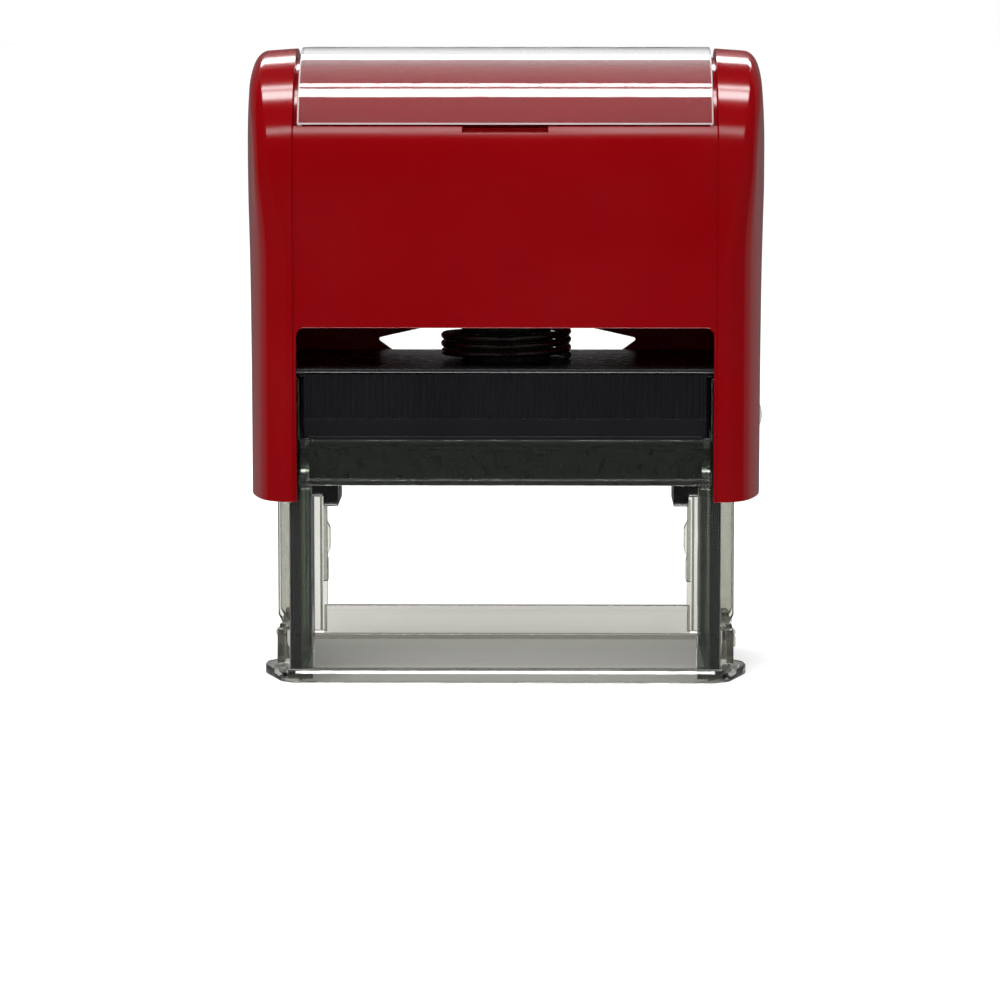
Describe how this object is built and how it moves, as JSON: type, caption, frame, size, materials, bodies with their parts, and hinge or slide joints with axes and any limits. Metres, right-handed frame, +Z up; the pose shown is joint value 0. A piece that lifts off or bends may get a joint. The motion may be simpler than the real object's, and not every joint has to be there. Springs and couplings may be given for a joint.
{
  "type": "self inking stamp",
  "caption": "Self-inking text stamp: arched cap over a clear-legged frame, with a sprung stroke that turns the die from its ink pad down through the base window.",
  "frame": {"origin": "centre of the base's underside, on the surface that the stamp stands on", "axes": "+X to the right across the stamp's long side, +Y to the back, +Z up along the stroke; the front face looks along -Y"},
  "size_m": [0.0746, 0.0374, 0.0901],
  "materials": {
    "base_clear": "clear injection-moulded polystyrene, faintly green-grey",
    "frame_smoke": "smoke-grey translucent moulding, glossy",
    "black_plastic": "black moulded plastic, satin",
    "ink_foam": "open-cell foam soaked in red ink",
    "ink_cloth": "fine woven cover wet with red ink",
    "spring_steel": "drawn spring wire",
    "pin_steel": "turned steel pin",
    "case_red": "deep red gloss moulding",
    "cushion_foam": "soft grey cell rubber",
    "die_rubber": "engraved stamp rubber, inked",
    "button_grey": "grey gloss plastic",
    "window_clear": "clear polished plastic"
  },
  "bodies": {
    "frame": {"clear_base": "base_clear", "side_frame": "frame_smoke", "top_bridge": "black_plastic", "ink_cartridge": "black_plastic", "pad_foam": "ink_foam", "pad_cover": "ink_cloth", "return_spring": "spring_steel"},
    "cap": {"case_shell": "case_red", "drive_bow": "black_plastic", "lock_spring": "spring_steel"},
    "die": {"die_carrier": "black_plastic", "pivot_pin_right": "pin_steel", "pivot_pin_left": "pin_steel", "guide_pin_right": "pin_steel", "guide_pin_left": "pin_steel", "die_cushion": "cushion_foam", "rubber_die": "die_rubber"},
    "lock": {"lock_button": "button_grey"},
    "window": {"index_window": "window_clear"}
  },
  "joints": [
    {"name": "cap_press", "type": "slide", "parent": "frame", "child": "cap", "axis": [0, 0, -1], "range_m": [0, 0.024], "stiffness_N_per_m": 350, "springref_m": -0.012, "deforming": ["return_spring"]},
    {"name": "die_flip", "type": "hinge", "parent": "cap", "child": "die", "pos_m": [0, 0, 0.0305], "axis": [1, 0, 0], "range_deg": [0, 180]},
    {"name": "lock_push", "type": "slide", "parent": "cap", "child": "lock", "axis": [-1, 0, 0], "range_m": [0, 0.0008], "stiffness_N_per_m": 300, "springref_m": -0.001, "deforming": ["lock_spring"]},
    {"name": "window_tilt", "type": "hinge", "parent": "cap", "child": "window", "pos_m": [0, 0.01631, 0.07916], "axis": [-1, 0, 0], "range_deg": [0, 30]}
  ],
  "couplings": [
    {"joint": "die_flip", "follows": "cap_press", "rad_per_m": 130.89}
  ]
}
